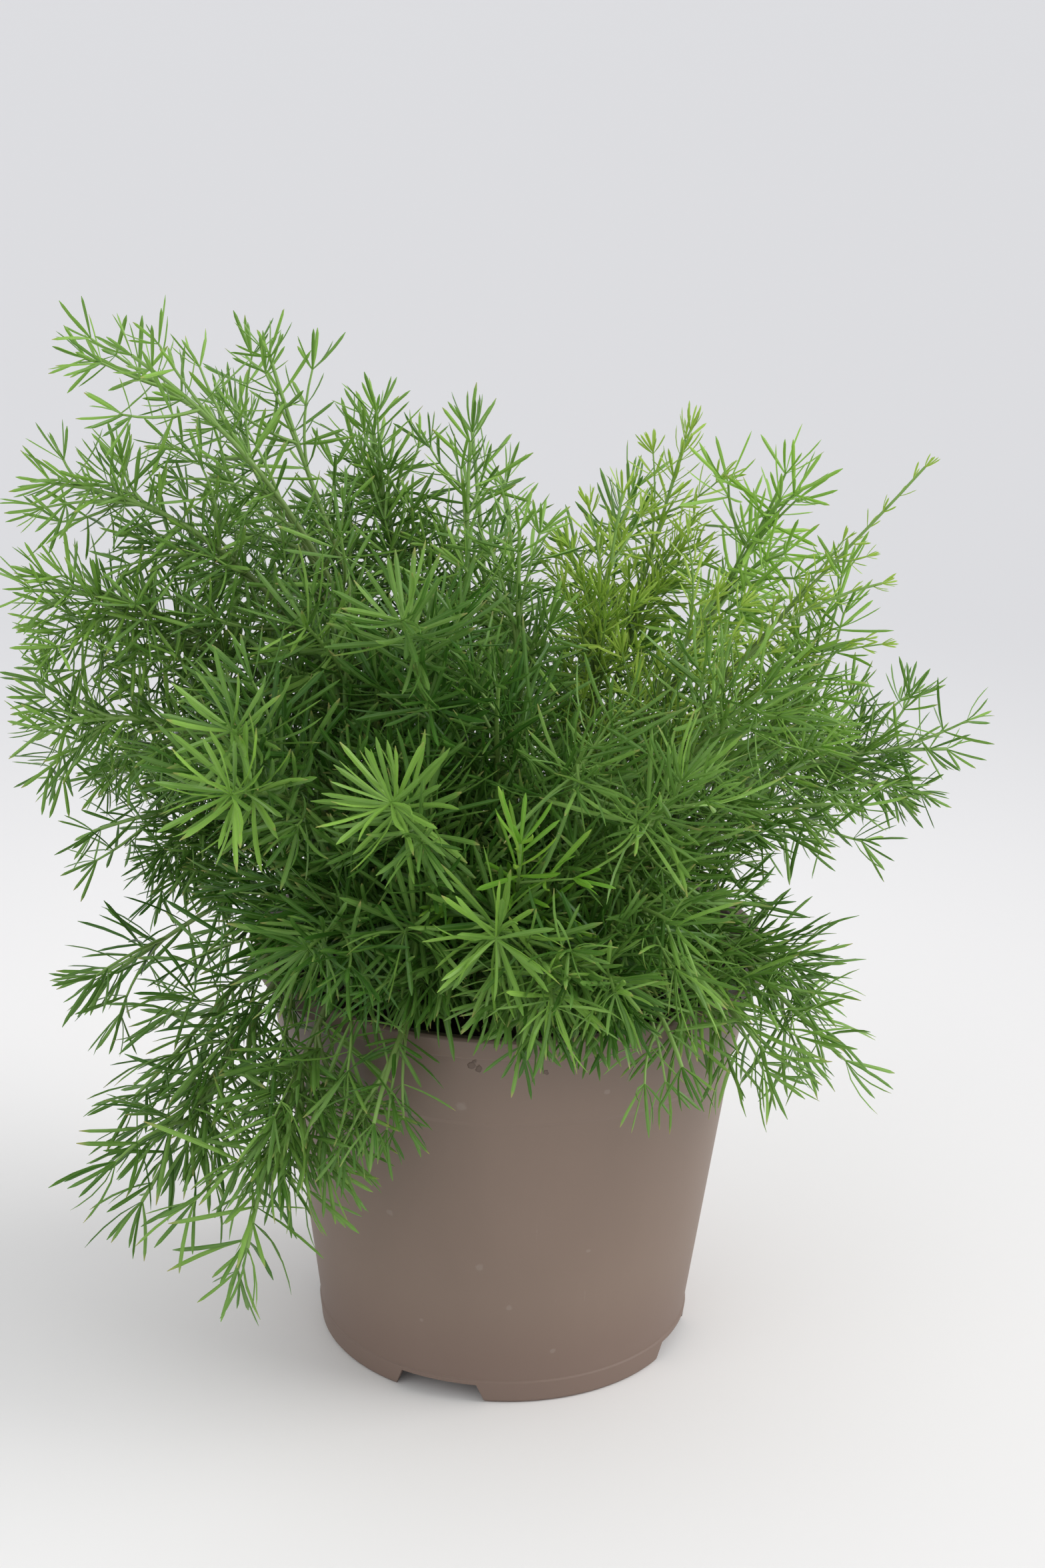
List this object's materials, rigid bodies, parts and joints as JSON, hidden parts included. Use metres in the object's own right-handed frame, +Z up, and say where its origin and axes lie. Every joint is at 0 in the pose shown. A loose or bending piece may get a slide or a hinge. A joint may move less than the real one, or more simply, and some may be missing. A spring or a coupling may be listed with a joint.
{
  "type": "potted asparagus fern",
  "caption": "Sprengeri asparagus fern, with arching stems of narrow green needles, rooted in dark soil in a tapered taupe plastic nursery pot with a collar and a notched foot.",
  "frame": {"origin": "centre of the pot's underside, on the surface that the pot stands on", "axes": "+Z up along the pot's axis, -Y towards the picture's view, +X to its right"},
  "size_m": [0.2508, 0.2091, 0.2651],
  "materials": {
    "pot_plastic": "satin",
    "peat_soil": "matte",
    "needle_green": "satin",
    "young_green": "satin"
  },
  "bodies": {
    "root": {"back_shoot_01": "needle_green", "back_shoot_02": "needle_green", "back_shoot_03": "needle_green", "back_shoot_04": "needle_green", "back_shoot_05": "needle_green", "back_shoot_06": "needle_green", "back_shoot_07": "needle_green", "crown_shoot_01": "needle_green", "crown_shoot_02": "needle_green", "crown_shoot_03": "needle_green", "crown_shoot_04": "needle_green", "front_shoot_01": "needle_green", "front_shoot_02": "needle_green", "front_shoot_03": "needle_green", "front_shoot_04": "needle_green", "front_shoot_05": "needle_green", "front_shoot_06": "needle_green", "front_shoot_07": "needle_green", "front_shoot_08": "needle_green", "front_shoot_09": "needle_green", "front_shoot_10": "needle_green", "front_shoot_11": "needle_green", "front_shoot_12": "needle_green", "front_shoot_13": "needle_green", "front_shoot_14": "needle_green", "front_shoot_15": "needle_green", "front_shoot_16": "needle_green", "hanging_shoot_01": "needle_green", "hanging_shoot_02": "needle_green", "hanging_shoot_03": "needle_green", "hanging_shoot_04": "needle_green", "hanging_shoot_05": "needle_green", "left_shoot_01": "needle_green", "left_shoot_02": "needle_green", "left_shoot_03": "needle_green", "left_shoot_04": "needle_green", "left_shoot_05": "needle_green", "left_shoot_06": "needle_green", "left_shoot_07": "needle_green", "left_shoot_08": "needle_green", "left_shoot_09": "needle_green", "pot": "pot_plastic", "right_shoot_01": "needle_green", "right_shoot_02": "needle_green", "right_shoot_03": "needle_green", "right_shoot_04": "needle_green", "right_shoot_05": "needle_green", "rim_shoot_01": "needle_green", "rim_shoot_02": "needle_green", "rim_shoot_03": "needle_green", "rim_shoot_04": "needle_green", "rim_shoot_05": "needle_green", "soil": "peat_soil", "thin_young_shoot_01": "young_green", "thin_young_shoot_02": "young_green", "thin_young_shoot_03": "young_green", "young_shoot_01": "young_green", "young_shoot_02": "young_green", "young_shoot_03": "young_green", "young_shoot_04": "young_green"}
  },
  "joints": []
}
